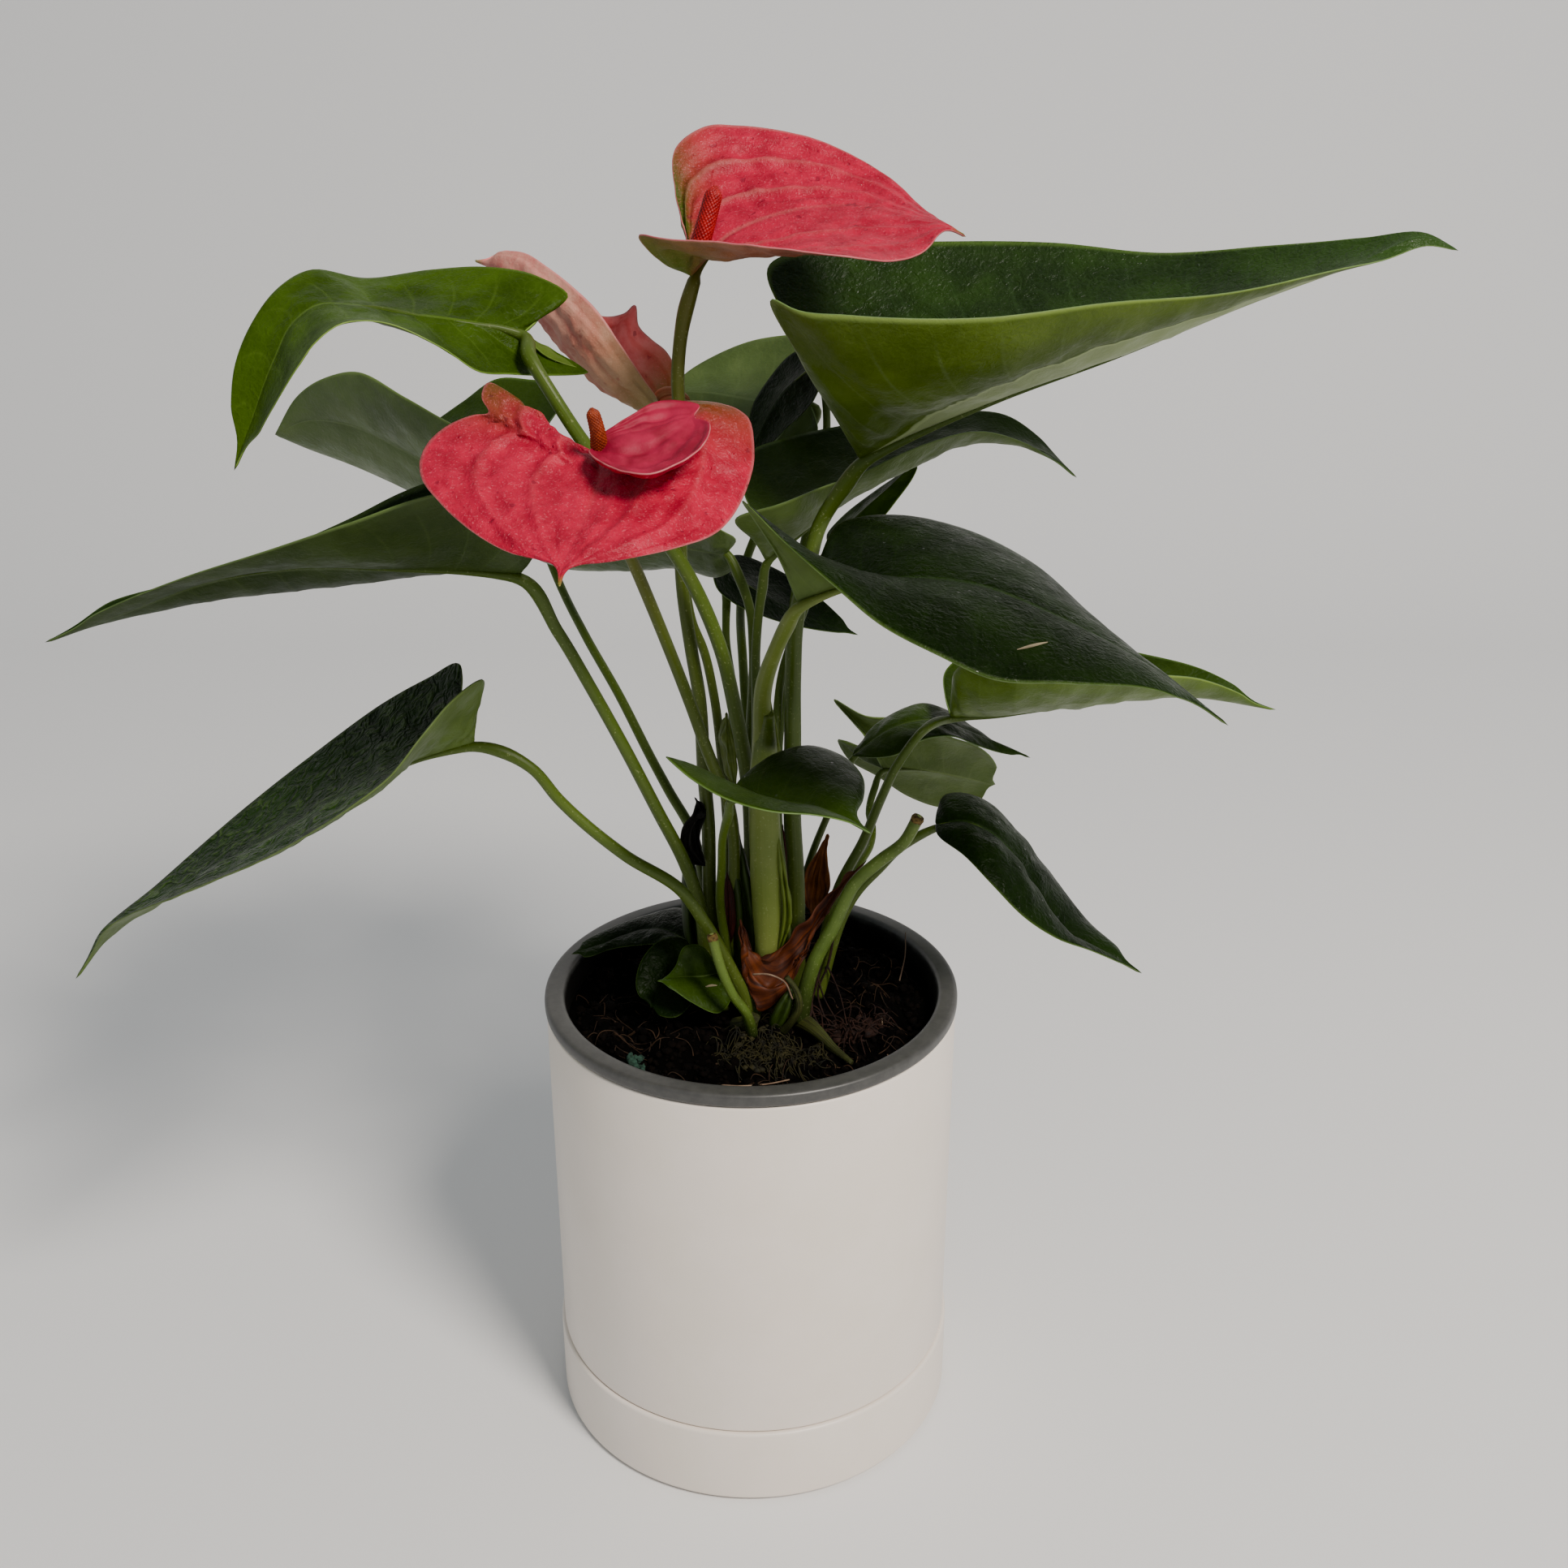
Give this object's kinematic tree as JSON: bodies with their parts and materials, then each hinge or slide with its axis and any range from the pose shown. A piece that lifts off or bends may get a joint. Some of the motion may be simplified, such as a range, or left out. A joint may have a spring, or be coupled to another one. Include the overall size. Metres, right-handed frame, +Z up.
{
  "type": "potted anthurium",
  "caption": "Potted flowering houseplant: arrow-shaped leaves and pink spathes on long stalks from one crown, in a lined cover pot on its saucer.",
  "frame": {"origin": "on the pots' axis, on the flat underside of the saucer", "axes": "+Z up along the pots' axis; the plant's front, where the lowest flower hangs over the rim, faces -Y; +X is to the right when looking at that front"},
  "size_m": [0.3813, 0.2228, 0.4061],
  "materials": {
    "leaf": "living leaf with a waxy satin gloss, dark green above and greyer below",
    "young_leaf": "young living leaf, bright green, waxy satin gloss",
    "stalk": "smooth living stalk, mid green, low gloss",
    "spathe": "waxy coral pink bract with raised veins",
    "spadix": "finely beaded red-orange flower spike",
    "papery_scale": "dry papery brown sheath",
    "white_pot": "warm white satin plastic",
    "grey_pot": "dark grey moulded plastic",
    "soil": "damp peat and bark potting mix",
    "moss": "low soft moss"
  },
  "bodies": {
    "root": {"saucer": "white_pot", "cover_pot": "white_pot", "nursery_pot": "grey_pot", "soil": "soil", "moss": "moss", "leaf_1": "leaf", "petiole_1": "stalk", "leaf_2": "young_leaf", "petiole_2": "stalk", "leaf_3": "leaf", "petiole_3": "stalk", "leaf_4": "leaf", "petiole_4": "stalk", "leaf_5": "leaf", "petiole_5": "stalk", "leaf_6": "leaf", "petiole_6": "stalk", "leaf_7": "leaf", "petiole_7": "stalk", "leaf_8": "leaf", "petiole_8": "stalk", "leaf_9": "leaf", "petiole_9": "stalk", "leaf_10": "young_leaf", "petiole_10": "stalk", "leaf_11": "leaf", "petiole_11": "stalk", "leaf_12": "leaf", "petiole_12": "stalk", "leaf_13": "young_leaf", "petiole_13": "stalk", "leaf_14": "leaf", "petiole_14": "stalk", "leaf_15": "leaf", "petiole_15": "stalk", "leaf_16": "leaf", "petiole_16": "stalk", "leaf_17": "young_leaf", "petiole_17": "stalk", "leaf_18": "leaf", "petiole_18": "stalk", "leaf_19": "leaf", "petiole_19": "stalk", "leaf_20": "leaf", "petiole_20": "stalk", "spathe_1": "spathe", "spadix_1": "spadix", "peduncle_1": "stalk", "spathe_2": "spathe", "spadix_2": "spadix", "peduncle_2": "stalk", "spathe_3": "spathe", "spadix_3": "spadix", "peduncle_3": "stalk", "stub_right": "stalk", "stub_front": "stalk", "sheath_1": "stalk", "sheath_2": "stalk", "papery_scale_front": "papery_scale", "papery_scale_back": "papery_scale"}
  },
  "joints": []
}
